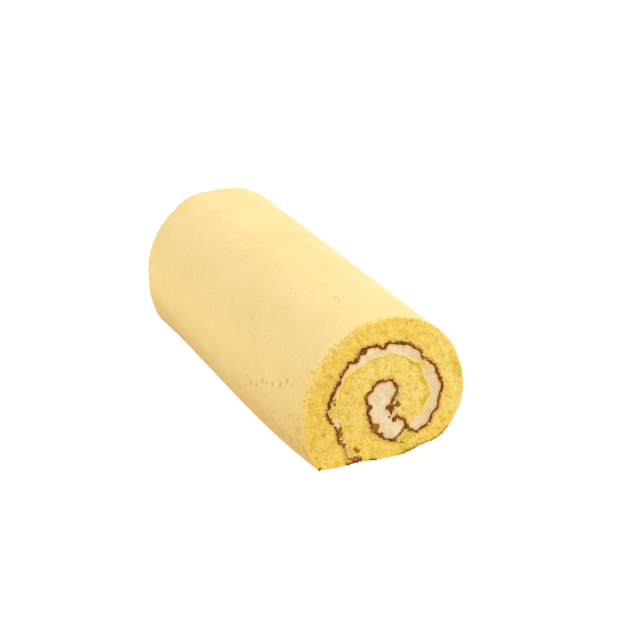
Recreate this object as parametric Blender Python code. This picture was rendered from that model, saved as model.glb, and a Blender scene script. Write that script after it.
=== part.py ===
"""Swiss roll cake: one sheet of sponge, spread with cream and rolled up into a loaf with a flat base.

Frame: +Y runs along the roll from the front cut to the back cut, +X is to the right of
somebody who looks at the front cut, +Z is up. The origin is the middle of the base.

The sheet of sponge is one solid. Its two faces are followed round the roll by their angle
in the XZ plane, counted from +X towards +Z, about the axis of the spiral:
- the browned face looks inwards and carries the cream. It starts at the tail, where the sheet
  ends under the roll, keeps its distance from the axis for nearly a whole turn, dives under
  the core and goes once round it, to the nose where the sheet begins;
- the skin looks outwards. In the outer turn it is the outline of the whole roll. In the inner
  turn it lies one layer of cream inside the browned face.
The cream fills what is left between the turns (cream_wrap) and inside the core (cream_core).
"""

import math

import bmesh
import bpy

MM = 0.001

# The whole roll
ROLL_LENGTH = 194 * MM
ROLL_WIDTH = 85 * MM
ROLL_HEIGHT = 73 * MM
WAIST_HEIGHT = 31 * MM  # where the roll is widest
LEFT_DROP = 52 * MM  # depth of the ellipse below the waist on the side of the tail: a steep flank
RIGHT_DROP = 36 * MM  # the same on the other side, which curls under
BASE_RIGHT = 7 * MM  # the base lies on the table from the tail to here
BASE_LIFT = 4 * MM  # how far the skin has left the table under the right flank
LIFT_RUN = 19 * MM  # the distance it takes to do so
RIGHT_SOFTNESS = 4 * MM  # rounding between base and right flank
FRONT_SOFTNESS = 2 * MM  # rounding of the tail's corner at the front cut
BACK_SOFTNESS = 13 * MM  # the same corner at the back cut, where the tail is tucked under

# The spiral
SPIRAL_X = 1 * MM  # its axis
SPIRAL_Z = 31 * MM
TURN_RADIUS = 28.2 * MM  # the browned face in the outer turn
CORE_RADIUS = 9.4 * MM  # the browned face round the core
TAIL_ANGLE = 242  # where the sheet ends under the roll
DIVE_START = -20  # the browned face leaves the outer turn here
DIVE_END = -165  # and has reached the core here
CORE_ANGLE = -318  # the browned face leaves its circle here and runs to the nose
FLARE_START = 205  # from here on the tail swings outwards to reach the table
TAIL_FLARE = 4.8 * MM
CURL_START = -285  # from here to CORE_ANGLE the core's circle turns inwards
NOSE_CURL = 2.2 * MM
NOTCH_X = -5 * MM  # the skin leaves the base here, next to the tail
TAIL_X = -19 * MM  # the tail's cut end reaches from its outer corner to here
PINCH_ANGLE = -50  # the skin of the inner turn ends here, at the flat underside of the nose
RIDGE_ANGLE = -57  # there the browned face rises to meet the nose
RIDGE_FLANK = 2.5  # the fillings end this far from the ridge on both sides

# The nose, from the browned face round to the skin: x and z
NOSE = [
    (6.9 * MM, 34.2 * MM),
    (6.0 * MM, 31.6 * MM),
    (4.6 * MM, 29.0 * MM),
    (2.4 * MM, 25.8 * MM),
    (4.6 * MM, 22.4 * MM),
    (8.2 * MM, 19.9 * MM),
    (10.4 * MM, 17.6 * MM),
    (11.7 * MM, 15.2 * MM),
]

# Dents of the browned face towards the axis, and bulges where the depth is negative:
# angle, depth, half width in degrees
DENTS = [
    (206, 1.2 * MM, 8),
    (187, -1.5 * MM, 9),
    (153, 0.9 * MM, 9),
    (125, 1.4 * MM, 6),
    (110, -0.7 * MM, 6),
    (92, 1.8 * MM, 6),
    (40, 1.2 * MM, 8),
    (6, -1.1 * MM, 13),
    (RIDGE_ANGLE, 5.2 * MM, 5),
    (-82, -1.6 * MM, 9),
    (-155, 1.1 * MM, 12),
    (-192, -1.2 * MM, 11),
]

# Thickness of the filling between the turns: angle, room between browned face and skin
SPREAD = [
    (PINCH_ANGLE, 6.0 * MM),
    (-35, 7.6 * MM),
    (-20, 7.3 * MM),
    (0, 5.3 * MM),
    (20, 6.5 * MM),
    (100, 6.2 * MM),
    (126, 5.8 * MM),
    (150, 3.6 * MM),
    (190, 3.0 * MM),
    (212, 2.2 * MM),
    (228, 2.6 * MM),
    (TAIL_ANGLE, 2.3 * MM),
]

CLEARANCE = 0.3 * MM  # between the sponge and the cream that touches it
ANGLE_STEP = 2.5  # degrees from one corner of a section to the next
NOSE_STEPS = 3  # corners for each point of the nose
STATIONS = 6  # cross-sections along the roll
SHARP_ANGLE = 40  # edges sharper than this stay sharp, such as those round the cuts

SPONGE_COLOUR = (0.87, 0.64, 0.16)
SPONGE_ROUGHNESS = 0.9
CREAM_COLOUR = (0.84, 0.76, 0.60)
CREAM_ROUGHNESS = 0.5


def ease(t):
    """0 up to t = 0, 1 from t = 1 on, and a smooth ramp between."""
    t = min(1.0, max(0.0, t))
    return t * t * (3 - 2 * t)


def higher(a, b, softness):
    """The higher of two heights, with the corner between them rounded off."""
    near = max(0.0, 1 - abs(a - b) / softness)
    return max(a, b) + near * near * softness / 4


def angles(first, last):
    """Angles from first to last, both included, about ANGLE_STEP apart."""
    count = math.ceil(abs(last - first) / ANGLE_STEP)
    return [first + (last - first) * i / count for i in range(count + 1)]


def polar(angle, radius):
    """The point at this angle and distance from the axis of the spiral."""
    turn = math.radians(angle)
    return SPIRAL_X + radius * math.cos(turn), SPIRAL_Z + radius * math.sin(turn)


def outline(angle, tail_softness):
    """A point on the outline of the roll: quarter ellipses round the waist, cut off by the table."""
    turn = math.radians(angle)
    x = ROLL_WIDTH / 2 * math.cos(turn)
    if math.sin(turn) > 0:
        reach = ROLL_HEIGHT - WAIST_HEIGHT
    else:
        reach = LEFT_DROP if x < 0 else RIGHT_DROP
    flank = WAIST_HEIGHT + reach * math.sin(turn)
    base = BASE_LIFT * ease((x - BASE_RIGHT) / LIFT_RUN)
    return x, higher(flank, base, tail_softness if x < 0 else RIGHT_SOFTNESS)


def smooth_radius(angle):
    """Distance of the browned face from the axis, before its dents."""
    out = ease((angle - DIVE_END) / (DIVE_START - DIVE_END))
    flare = ease((angle - FLARE_START) / (TAIL_ANGLE - FLARE_START))
    curl = ease((angle - CURL_START) / (CORE_ANGLE - CURL_START))
    return CORE_RADIUS + (TURN_RADIUS - CORE_RADIUS) * out + TAIL_FLARE * flare - NOSE_CURL * curl


def browned_radius(angle):
    """Distance of the browned face from the axis."""
    dents = sum(depth * math.exp(-(((angle - at) / width) ** 2)) for at, depth, width in DENTS)
    return smooth_radius(angle) - dents


def room(angle):
    """Thickness of the filling between the turns, eased from one place in SPREAD to the next."""
    for (low, thin), (high, thick) in zip(SPREAD, SPREAD[1:]):
        if angle <= high:
            return thin + (thick - thin) * ease((angle - low) / (high - low))
    return SPREAD[-1][1]


def inner_skin(angle):
    """A point on the skin of the inner turn."""
    return polar(angle, smooth_radius(angle) - room(angle))


def catmull_rom(before, start, end, after, t):
    """The value at t on the curve from start to end that its neighbours before and after shape."""
    slope = end - before
    bend = 2 * before - 5 * start + 4 * end - after
    twist = 3 * start - before - 3 * end + after
    return start + (slope * t + bend * t**2 + twist * t**3) / 2


def smooth_nose():
    """The nose as a smooth curve through its points."""
    padded = [NOSE[0], *NOSE, NOSE[-1]]
    curve = []
    for around in zip(padded, padded[1:], padded[2:], padded[3:]):
        for i in range(NOSE_STEPS):
            curve.append(tuple(catmull_rom(*values, i / NOSE_STEPS) for values in zip(*around)))
    return [*curve, NOSE[-1]]


def shrunk(loop, distance):
    """The closed loop, clockwise seen from the front, with every corner moved inwards by distance."""
    moved = []
    for before, at, after in zip([loop[-1], *loop], loop, [*loop[1:], loop[0]]):
        along = (after[0] - before[0], after[1] - before[1])
        length = math.hypot(*along)
        moved.append((at[0] + along[1] / length * distance, at[1] - along[0] / length * distance))
    return moved


def sponge_section(tail_softness):
    """The sheet of sponge: outline, skin of the inner turn, nose, browned face and back to the tail."""
    tail_end = 360 - math.degrees(math.acos(2 * TAIL_X / ROLL_WIDTH))
    notch = -math.degrees(math.acos(2 * NOTCH_X / ROLL_WIDTH))
    outer = [outline(a, tail_softness) for a in angles(tail_end, notch)]
    skin = [inner_skin(a) for a in angles(TAIL_ANGLE, PINCH_ANGLE)]
    browned = [polar(a, browned_radius(a)) for a in angles(CORE_ANGLE, TAIL_ANGLE)]
    return outer + skin + smooth_nose()[::-1] + browned


def wrap_section():
    """The cream between the outer and the inner turn, as far as the ridge."""
    browned = [polar(a, browned_radius(a)) for a in angles(TAIL_ANGLE, RIDGE_ANGLE + RIDGE_FLANK)]
    skin = [inner_skin(a) for a in angles(PINCH_ANGLE, TAIL_ANGLE)]
    return shrunk(browned + skin, CLEARANCE)


def core_section():
    """The cream inside the core, as far as the other side of the ridge."""
    browned = [polar(a, browned_radius(a)) for a in angles(RIDGE_ANGLE - RIDGE_FLANK, CORE_ANGLE)]
    return shrunk(browned + smooth_nose(), CLEARANCE)


def loft(name, sections, material):
    """A solid through sections spaced evenly along the roll: bridged rings with both ends filled."""
    form = bmesh.new()
    rings = []
    for i, section in enumerate(sections):
        y = ROLL_LENGTH * (i / (len(sections) - 1) - 0.5)
        corners = [form.verts.new((x, y, z)) for x, z in section]
        rings.append([form.edges.new(pair) for pair in zip(corners, [*corners[1:], corners[0]])])
        if i in (0, len(sections) - 1):
            form.faces.new(corners)
    for ring, following in zip(rings, rings[1:]):
        bmesh.ops.bridge_loops(form, edges=ring + following)
    bmesh.ops.recalc_face_normals(form, faces=form.faces)
    mesh = bpy.data.meshes.new(name)
    form.to_mesh(mesh)
    form.free()
    mesh.materials.append(material)
    mesh.shade_smooth()
    mesh.set_sharp_from_angle(angle=math.radians(SHARP_ANGLE))
    bpy.context.scene.collection.objects.link(bpy.data.objects.new(name, mesh))


def food(name, colour, roughness):
    material = bpy.data.materials.new(name)
    material.use_nodes = True
    shader = material.node_tree.nodes["Principled BSDF"]
    shader.inputs["Base Color"].default_value = (*colour, 1)
    shader.inputs["Roughness"].default_value = roughness
    shader.inputs["Metallic"].default_value = 0
    return material


def main():
    for obj in list(bpy.data.objects):
        bpy.data.objects.remove(obj)
    sponge = food("sponge", SPONGE_COLOUR, SPONGE_ROUGHNESS)
    cream = food("cream", CREAM_COLOUR, CREAM_ROUGHNESS)
    tucked = [ease(i / (STATIONS - 1)) for i in range(STATIONS)]
    softness = [FRONT_SOFTNESS + (BACK_SOFTNESS - FRONT_SOFTNESS) * share for share in tucked]
    loft("sponge_sheet", [sponge_section(s) for s in softness], sponge)
    loft("cream_wrap", [wrap_section()] * 2, cream)
    loft("cream_core", [core_section()] * 2, cream)


main()
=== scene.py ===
import math
import random

import bmesh
import bpy
import numpy as np
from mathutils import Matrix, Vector, kdtree, noise
from mathutils.geometry import delaunay_2d_cdt


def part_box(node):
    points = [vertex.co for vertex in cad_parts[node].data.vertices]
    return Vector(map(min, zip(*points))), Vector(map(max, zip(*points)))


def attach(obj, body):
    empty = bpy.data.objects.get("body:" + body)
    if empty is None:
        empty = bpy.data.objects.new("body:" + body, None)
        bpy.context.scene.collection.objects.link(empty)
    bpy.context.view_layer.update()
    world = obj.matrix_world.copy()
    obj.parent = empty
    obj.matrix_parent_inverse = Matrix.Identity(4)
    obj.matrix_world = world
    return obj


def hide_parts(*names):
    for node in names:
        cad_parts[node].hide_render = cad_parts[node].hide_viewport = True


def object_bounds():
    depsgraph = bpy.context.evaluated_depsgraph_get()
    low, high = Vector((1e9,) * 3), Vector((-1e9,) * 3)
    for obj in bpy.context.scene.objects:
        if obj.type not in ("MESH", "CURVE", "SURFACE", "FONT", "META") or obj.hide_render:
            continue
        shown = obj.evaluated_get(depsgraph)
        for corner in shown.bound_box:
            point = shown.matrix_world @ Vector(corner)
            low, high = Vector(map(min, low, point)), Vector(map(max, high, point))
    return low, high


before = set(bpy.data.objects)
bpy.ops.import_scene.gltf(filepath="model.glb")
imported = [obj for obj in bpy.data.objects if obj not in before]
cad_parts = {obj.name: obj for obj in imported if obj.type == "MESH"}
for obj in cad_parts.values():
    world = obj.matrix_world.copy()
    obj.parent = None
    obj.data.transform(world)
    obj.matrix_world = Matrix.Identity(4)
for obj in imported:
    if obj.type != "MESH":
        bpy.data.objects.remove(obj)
packed_low, packed_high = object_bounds()
print("packed box in mm:", [round(1000 * s, 1) for s in packed_high - packed_low])

# %% [markdown]
# ## Units, colours and nodes
# Sizes are written in millimetres and multiplied by `MM`, because Blender counts in metres.
# Colours are written as hex values, which say how bright a screen shows them. Blender's shaders
# count in linear light, so one function turns the first into the second. Node trees are built in
# code, and one more function adds a node, sets it up and links it.
# %% Units, colours and a node helper
MM = 0.001


def linear(colour):
    """The linear RGBA values of an sRGB hex colour."""
    parts = [int(colour[i : i + 2], 16) / 255 for i in (1, 3, 5)]
    return (*(p / 12.92 if p <= 0.04045 else ((p + 0.055) / 1.055) ** 2.4 for p in parts), 1)


def add(tree, kind, inputs=(), **settings):
    """A new node. An input is a value, a socket or a node, whose first live output is linked."""
    made = tree.nodes.new(kind)
    for name, value in settings.items():
        setattr(made, name, value)
    for key, value in dict(inputs).items():
        live = [s for s in made.inputs if s.enabled]
        socket = live[key] if isinstance(key, int) else next(s for s in live if s.name == key)
        if isinstance(value, bpy.types.Node):
            value = next(s for s in value.outputs if s.enabled)
        if isinstance(value, bpy.types.NodeSocket):
            tree.links.new(value, socket)
        else:
            socket.default_value = value
    return made


print("a screen's #808080 is", round(linear("#808080")[0], 3), "in linear light")

# %% [markdown]
# ## Reading a cut face's outline
# Each solid is a bar along Y, so its shape is all in the outline of its cut face. The packed
# meshes are loose triangles: they are welded in a copy, and the outline is then the run of edges
# between the flat end and the wall. Walking along it from edge to edge gives the points in order.
# %% Outlines of the cut faces
WELD = 0.001 * MM
FLAT = 10 * WELD  # a corner this close to a cut lies on it


def cut_outline(name, y):
    """The outline of a solid's flat end at y: (x, z) points, clockwise seen from the front."""
    form = bmesh.new()
    form.from_mesh(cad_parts[name].data)
    bmesh.ops.remove_doubles(form, verts=form.verts, dist=WELD)
    flat = {v for v in form.verts if abs(v.co.y - y) < FLAT}
    beside = {}
    for edge in form.edges:
        ends = sum(set(face.verts) <= flat for face in edge.link_faces)
        if ends == 1 and set(edge.verts) <= flat:
            for a, b in (edge.verts, reversed(edge.verts)):
                beside.setdefault(a, []).append(b)
    ring = [next(iter(beside))]
    before = None
    while len(ring) == 1 or ring[-1] is not ring[0]:
        step = next(v for v in beside[ring[-1]] if v is not before)
        before = ring[-1]
        ring.append(step)
    points = np.array([(v.co.x, v.co.z) for v in ring[:-1]])
    form.free()
    x, z = points.T
    turning = np.sum(x * np.roll(z, -1) - np.roll(x, -1) * z)
    return points if turning < 0 else points[::-1]


front_y, back_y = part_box("sponge_sheet")[0].y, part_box("sponge_sheet")[1].y
sponge_ring = cut_outline("sponge_sheet", front_y)
core_ring = cut_outline("cream_core", front_y)
print("corners round the sponge's front cut:", len(sponge_ring))

# %% [markdown]
# ## The sheet's faces
# One outline holds three faces that look quite different: the outer skin, the skin of the inner
# turn, and the browned face that carries the cream. They meet where the sheet touches the table
# on both sides of the seam, and at the sheet's nose, where the outline first comes next to the
# core's cream. Each one is cut out of the ring, so that it can have its own spacing and finish.
# %% Split the outline into faces
ON_TABLE = 0.05 * MM
TOUCHING = 0.5 * MM


def tree_of(points):
    """A search tree for the point nearest to a place."""
    tree = kdtree.KDTree(len(points))
    for i, (x, z) in enumerate(points):
        tree.insert((x, 0, z), i)
    tree.balance()
    return tree


def distance_to(tree, x, z):
    """How far a place on a cut is from the nearest point of a tree."""
    return tree.find((x, 0, z))[2]


def length_of(path):
    """The length of a path of points."""
    return np.linalg.norm(np.diff(path, axis=0), axis=1).sum()


def faces_of_sheet(ring):
    """The outer skin, the inner skin and the browned face, each an open path of points."""
    near_core = tree_of(core_ring)
    middle = core_ring.mean(axis=0)
    ring = np.roll(ring, -int(np.argmin(np.linalg.norm(ring - middle, axis=1))), axis=0)
    low = np.flatnonzero(ring[:, 1] < ON_TABLE)
    outer = ring[low[0] : low[-1] + 1]
    inner = np.vstack([ring[low[-1] :], ring[: low[0] + 1]])
    nose = next(i for i, p in enumerate(inner) if distance_to(near_core, *p) < TOUCHING)
    return outer, inner[: nose + 1], inner[nose:]


front_faces = faces_of_sheet(sponge_ring)
back_faces = faces_of_sheet(cut_outline("sponge_sheet", back_y))
for title, path in zip(("outer skin", "inner skin", "browned face"), front_faces):
    print(f"{title}: {length_of(path) / MM:.0f} mm long")

# %% [markdown]
# ## Smooth paths, and the unevenness of rolling by hand
# The solids' outlines have a corner every millimetre or so. A Catmull-Rom curve runs smoothly
# through all of them, and points read off it an even distance apart give a fine, regular mesh.
# A spread sheet is never quite even, though: its browned face ripples where the cream was thick
# or thin. One field of gentle noise moves sponge and cream alike, so they still fit each other.
# It fades out towards the outer skin, which keeps the outline of the roll.
# %% Resampling and unevenness
RIPPLE_WIDTH, RIPPLE_DEPTH = 5.0 * MM, 1.5 * MM
NICK_WIDTH, NICK_DEPTH = 1.8 * MM, 0.5 * MM
STEADY_DEPTH = 7 * MM  # the ripples have their full depth this far inside the outer skin
CURVE_STEPS = 8  # points on the curve from one corner to the next
TREE_SPACING = 0.3 * MM
FIELDS = (0.5, 7.5)  # the noise is read in one plane for the push along x, and in one for z


def evenly(path, spacing=None, count=None):
    """Points an even distance apart along a smooth curve through the path."""
    padded = np.array([path[0], *path, path[-1]])
    t = np.linspace(0, 1, CURVE_STEPS, endpoint=False)[:, None]
    curve = [
        b + ((c - a) * t + (2 * a - 5 * b + 4 * c - d) * t**2 + (3 * b - a - 3 * c + d) * t**3) / 2
        for a, b, c, d in zip(padded, padded[1:], padded[2:], padded[3:])
    ]
    curve = np.vstack([*curve, padded[-1:]])
    run = np.concatenate([[0], np.cumsum(np.linalg.norm(np.diff(curve, axis=0), axis=1))])
    marks = np.linspace(0, run[-1], count or round(run[-1] / spacing) + 1)
    return np.column_stack([np.interp(marks, run, curve[:, k]) for k in (0, 1)])


outer_points = evenly(front_faces[0], TREE_SPACING)
outer_tree = tree_of(outer_points)
print("points of the outer skin to measure from:", len(outer_points))


def rippled(points):
    """The points moved by the unevenness of the spread sheet."""
    moved = []
    for x, z in points:
        steady = min(1, distance_to(outer_tree, x, z) / STEADY_DEPTH)
        for width, depth in ((RIPPLE_WIDTH, RIPPLE_DEPTH), (NICK_WIDTH, NICK_DEPTH)):
            push = [noise.noise(Vector((x / width, field, z / width))) for field in FIELDS]
            x += push[0] * depth * steady
            z += push[1] * depth * steady
        moved.append((x, z))
    return np.array(moved)


# %% [markdown]
# ## A bar with two cut ends
# Sponge and cream are all bars between two cut faces. The walls are columns of corners that run
# from cut to cut. A column that shows has many corners along its length and a hidden one only a
# few, so neighbours are zipped together with triangles. The ends are filled with small triangles
# of even size, because the crumb's relief is made by moving their corners. The knife leaves a
# rounded edge, which the first rings of corners follow as a quarter circle. The attribute
# `on_cut` is 1 on a cut and fades out along the wall, so what happens to the cut takes the
# edge with it.
# %% Rings along the roll, and its rounded edges
FINE_RUN = 2.3 * MM  # from one ring of corners to the next on what shows
EDGE_DEPTHS = np.array((0, 0.1, 0.3, 0.7, 1.4, 2.6, 4.2)) * MM  # rings next to a cut
EDGE_FADE = EDGE_DEPTHS[-1]


def ring_heights(run):
    """Places of the rings along the roll: close together at the cuts, and then run apart."""
    start, end = front_y + EDGE_FADE, back_y - EDGE_FADE
    between = np.linspace(start, end, round((end - start) / run) + 1)[1:-1]
    return np.concatenate([front_y + EDGE_DEPTHS, between, back_y - EDGE_DEPTHS[::-1]])


def inward(ring):
    """At each point of a clockwise ring, the direction to its inside."""
    along = np.roll(ring, -1, axis=0) - np.roll(ring, 1, axis=0)
    along /= np.linalg.norm(along, axis=1)[:, None]
    return np.column_stack([along[:, 1], -along[:, 0]])


def rounding(depth, radius):
    """How far the outline draws in at this depth from the cut."""
    left = max(0, radius - depth)
    return radius - math.sqrt(max(0, radius**2 - left**2))


print("rings of corners from cut to cut:", len(ring_heights(FINE_RUN)))

# %% Filling a cut
ROW_STEP, JITTER, RIM_GAP = 0.87, 0.3, 0.6  # as shares of the spacing of the corners
KEEP_INSIDE, SAME_PLACE = 1, 1e-9  # triangles inside the outline, and corners that count as one


def filled(outline, spacing, seed):
    """Corners inside an outline and the triangles that fill it, counter-clockwise."""
    draw = random.Random(seed)
    rim = tree_of(outline)
    low, high = outline.min(axis=0), outline.max(axis=0)
    inside = []
    for row, z in enumerate(np.arange(low[1], high[1], spacing * ROW_STEP)):
        for x in np.arange(low[0] + spacing / 2 * (row % 2), high[0], spacing):
            place = [value + draw.uniform(-JITTER, JITTER) * spacing for value in (x, z)]
            if distance_to(rim, *place) > RIM_GAP * spacing:
                inside.append(place)
    points = [Vector(p) for p in (*outline, *inside)]
    ends = [list(range(len(outline)))]
    _, _, triangles, origins, *_ = delaunay_2d_cdt(points, [], ends, KEEP_INSIDE, SAME_PLACE)
    used = sorted({v for triangle in triangles for v in triangle})
    home = {v: origins[v][0] for v in used}
    kept = sorted(v for v in home.values() if v >= len(outline))
    place = {v: i + len(outline) for i, v in enumerate(kept)}
    renamed = {v: home[v] if home[v] < len(outline) else place[home[v]] for v in used}
    extra = np.array([points[v] for v in kept]).reshape(-1, 2)
    return extra, [[renamed[v] for v in triangle] for triangle in triangles]


# %% Building a bar
WALL, CUT = 0, 1  # material slots
FEW_RINGS = (0, 3, 6)  # a hidden column has these, counted from each cut, and the middle one
BELLY_TOP = 4 / 27  # the most that run * (1 - run) ** 2 reaches


def bar(name, front, back, shows, heights, spacing, radii, belly=None):
    """A closed bar between two cuts.

    For each column, shows says if it has all its rings, radii how round its two edges are, and
    belly how far its middle is pushed.
    """
    inside_front, inside_back = inward(front), inward(back)
    last = len(heights) - 1
    few = sorted({last // 2, *FEW_RINGS, *(last - k for k in FEW_RINGS)})
    corners, columns = [], []
    for i, fine in enumerate(shows):
        column = []
        for k in range(last + 1) if fine else few:
            run = (heights[k] - front_y) / (back_y - front_y)
            point = front[i] + (back[i] - front[i]) * run * run * (3 - 2 * run)
            if belly is not None:
                point = point + belly[i] / BELLY_TOP * run * (1 - run) ** 2
            at_back = int(run > 0.5)
            direction = inside_back[i] if at_back else inside_front[i]
            depth = min(heights[k] - front_y, back_y - heights[k])
            point = point + direction * rounding(depth, radii[at_back][i])
            column.append((k, len(corners)))
            corners.append((point[0], heights[k], point[1]))
        columns.append(column)
    faces, slots = [], []
    for i, (one, two) in enumerate(zip(columns, [*columns[1:], columns[0]])):
        a = b = 0
        while a < len(one) - 1 or b < len(two) - 1:
            if b == len(two) - 1 or (a < len(one) - 1 and one[a + 1][0] <= two[b + 1][0]):
                faces.append((one[a][1], two[b][1], one[a + 1][1]))
                a += 1
            else:
                faces.append((one[a][1], two[b][1], two[b + 1][1]))
                b += 1
            slots.append(WALL if shows[i] else CUT)
    for end, y in ((0, heights[0]), (-1, heights[-1])):
        rim = [column[end][1] for column in columns]
        outline = np.array([(corners[v][0], corners[v][2]) for v in rim])
        extra, triangles = filled(outline, spacing, seed=len(name) + end)
        names = [*rim, *range(len(corners), len(corners) + len(extra))]
        corners += [(x, y, z) for x, z in extra]
        faces += [[names[v] for v in (t if end == 0 else reversed(t))] for t in triangles]
        slots += [CUT] * len(triangles)
    mesh = bpy.data.meshes.new(name)
    mesh.from_pydata(corners, [], faces)
    mesh.polygons.foreach_set("material_index", slots)
    mesh.shade_smooth()
    y = np.array(corners)[:, 1]
    on_cut = np.clip(1 - np.minimum(y - front_y, back_y - y) / EDGE_FADE, 0, 1)
    mesh.attributes.new("on_cut", "FLOAT", "POINT").data.foreach_set("value", on_cut)
    piece = bpy.data.objects.new(name, mesh)
    bpy.context.scene.collection.objects.link(piece)
    form = bmesh.new()
    form.from_mesh(mesh)
    loose = sum(not e.is_manifold for e in form.edges)
    print(f"{name}: {len(faces)} triangles, {loose} open edges, {form.calc_volume() * 1e6:.0f} ml")
    form.free()
    return piece


# %% [markdown]
# ## The sponge
# A cut crumb shows detail down to about half a millimetre, so the ends are filled that finely.
# The outer skin is smooth and needs fewer corners round it. The knife's edge is crisp, apart from
# where it went into the roll, at the upper left of the front: there the skin is worn round. The
# roll's own weight and the hand that rolled it show too. It sags a little in the middle, and at
# the back it bulges at the upper left and is tucked in low down.
# %% Build the sponge
CRUMB_SPACING = 0.46 * MM
SKIN_SPACING = 0.95 * MM
CRISP_EDGE = 0.3 * MM
WORN_EDGE = 2.0 * MM  # added at the upper left of the front
CRUMBLED_EDGE = 0.5 * MM  # added here and there, in places as wide as the next value
CRUMBLE_WIDTH = 9 * MM
# angle round the roll in degrees, how far round it reaches, and how far the hand pushed
PRESSED_BACK = ((116, 40, 2.4 * MM), (190, 26, -1.3 * MM), (224, 18, -1.8 * MM))
SAGGED_MIDDLE = ((214, 20, 2.3 * MM),)

axis = (packed_low + packed_high) / 2


def pushed(points, pushes):
    """Outline points pushed out and in round the roll, and never below the table."""
    moved = []
    for x, z in points:
        angle = math.degrees(math.atan2(z - axis.z, x - axis.x)) % 360
        push = sum(p * math.exp(-(((angle - at) / width) ** 2)) for at, width, p in pushes)
        outwards = Vector((x - axis.x, z - axis.z)).normalized() * push
        moved.append((x + outwards.x, max(0.0, z + outwards.y)))
    return np.array(moved)


skin_count = round(length_of(front_faces[0]) / SKIN_SPACING)
inner_skin, browned = (rippled(evenly(path, CRUMB_SPACING)) for path in front_faces[1:])
rings = []
for outer in (front_faces[0], pushed(back_faces[0], PRESSED_BACK)):
    outer = evenly(outer, count=skin_count)
    rings.append(np.vstack([outer[:-1], inner_skin[:-1], browned[:-1]]))
shows = [i < skin_count for i in range(len(rings[0]))]
belly = pushed(rings[0], SAGGED_MIDDLE) - rings[0]
belly[~np.array(shows)] = 0
edges = [[], []]
for fine, (x, z) in zip(shows, rings[0]):
    upper_left = Vector((x - axis.x, z - axis.z)).normalized().dot(Vector((-1, 1)).normalized())
    crumbled = (noise.noise(Vector((x, 0, z)) / CRUMBLE_WIDTH) + 0.5) * CRUMBLED_EDGE
    worn = max(0, upper_left) * WORN_EDGE
    edges[0].append(CRISP_EDGE + worn + crumbled if fine else 0.0)
    edges[1].append(CRISP_EDGE + crumbled if fine else 0.0)
sponge = bar("sponge", *rings, shows, ring_heights(FINE_RUN), CRUMB_SPACING, edges, belly)

# %% [markdown]
# ## The cream
# The two fillings are bars as well. The solids keep a hair's gap to the sponge, which would show
# as a dark slit, so each outline is pushed out to close it. Cream is cut more cleanly than crumb
# and lies flush with it, so its edge is hardly rounded.
# %% Build the two fillings
CREAM_SPACING = 0.55 * MM
HAIR_GAP = 0.3 * MM
CREAM_EDGE = 0.2 * MM
THIN_EDGE = 0.3  # the same where cream is thin, as a share of its thickness

browned_tree, inner_tree = tree_of(browned), tree_of(inner_skin)


def filling(name, node):
    """A bar of cream that stands for a node and touches the sponge all round."""
    ring = cut_outline(node, front_y)
    ring = evenly(np.vstack([ring, ring[:1]]), CREAM_SPACING)[:-1]
    ring = rippled(ring - inward(ring) * HAIR_GAP)
    across = [distance_to(browned_tree, *p) + distance_to(inner_tree, *p) for p in ring]
    edge = [min(CREAM_EDGE, THIN_EDGE * thickness) for thickness in across]
    hidden = [False] * len(ring)
    return bar(name, ring, ring, hidden, ring_heights(FINE_RUN), CREAM_SPACING, (edge, edge))


cream_layer = filling("cream_layer", "cream_wrap")
cream_centre = filling("cream_centre", "cream_core")

# %% [markdown]
# ## The seam underneath
# Where the sheet ends, its tail lies on the table and the roll leaves the table again. Crumb and
# a little crust are squeezed into the corner between them and stick there all along the roll.
# This is one more thin bar. Its ends stop just short of the cuts, because it was pushed in.
# %% Build the squeezed seam
SEAM_HOLLOW = 1.1 * MM  # the squeezed crumb stays this far off the table
SEAM_OVERLAP = 0.9 * MM  # and reaches this far into the crumb above
SEAM_SHORT = 0.5 * MM

tail, foot = front_faces[0][[0, -1]]
roof = front_faces[1][1] + (0, SEAM_OVERLAP)
under = (tail + foot) / 2 + (0, SEAM_HOLLOW)
seam_ring = rippled(evenly(np.array([tail, roof, foot, under, tail]), CRUMB_SPACING))[:-1]
seam_ring = np.maximum(seam_ring, (-np.inf, 0.0))
seam_heights = np.clip(ring_heights(FINE_RUN), front_y + SEAM_SHORT, back_y - SEAM_SHORT)
seam_heights = np.unique(seam_heights)
shows = [True] * len(seam_ring)
edges = np.zeros((2, len(seam_ring)))
seam_bar = (seam_ring, seam_ring, shows, seam_heights, CRUMB_SPACING, edges)
squeezed_seam = bar("squeezed_seam", *seam_bar)

# %% [markdown]
# ## What lies next to what
# The crumb is paler by the skin and turns brown by the cream. So every corner is told how far it
# is from each face of the sheet, in metres, as a named attribute. Node trees can read it, and it
# stays with the mesh. The sponge is also told how far it leans over the table: 0 on the flanks and
# 1 where it faces straight down. There the skin is painted ochre, partly because it stayed damp and
# partly as painted shade, and it carries a painted contact shadow.
# %% Distances and overhang as attributes
PLACES = {"to_skin": outer_tree, "to_browned": browned_tree, "to_inner_skin": inner_tree}

for piece in (sponge, cream_layer, cream_centre, squeezed_seam):
    for title, tree in PLACES.items():
        values = [distance_to(tree, v.co.x, v.co.z) for v in piece.data.vertices]
        note = piece.data.attributes.new(title, "FLOAT", "POINT")
        note.data.foreach_set("value", np.array(values, np.float32))
    print(piece.name, "notes:", [a.name for a in piece.data.attributes if a.name in PLACES])

leaning = [max(0.0, -v.normal.z) for v in sponge.data.vertices]
sponge.data.attributes.new("overhang", "FLOAT", "POINT").data.foreach_set("value", leaning)
print("leans over the table:", sum(value > 0.5 for value in leaning), "corners of the sponge")

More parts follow.
